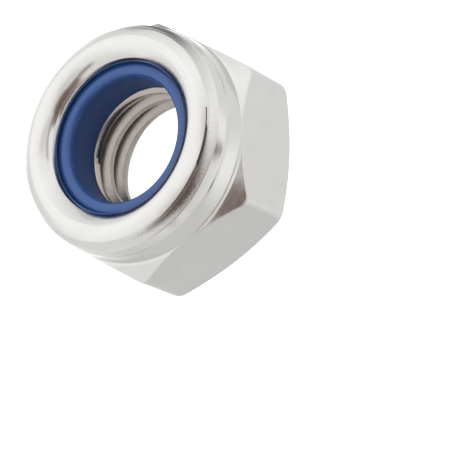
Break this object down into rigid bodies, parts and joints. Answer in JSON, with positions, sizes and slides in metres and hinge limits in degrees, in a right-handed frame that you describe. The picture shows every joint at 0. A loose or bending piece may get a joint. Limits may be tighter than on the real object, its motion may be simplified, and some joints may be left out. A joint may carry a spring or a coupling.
{
  "type": "nylon insert lock nut",
  "caption": "Hexagon lock nut with a rolled collar that holds a blue nylon ring above an M8 thread, so the nut grips the bolt and does not shake loose.",
  "frame": {"origin": "centre of the bearing face, on the thread axis", "axes": "+Z along the thread axis from the bearing face to the collar with the nylon ring; the flats face +X and -X, a hexagon corner points to -Y"},
  "size_m": [0.013, 0.0148, 0.008],
  "materials": {
    "nut_body": "bright tumbled stainless steel",
    "nylon_insert": "satin blue nylon"
  },
  "bodies": {
    "root": {"nut_body": "nut_body", "nylon_insert": "nylon_insert"}
  },
  "joints": []
}
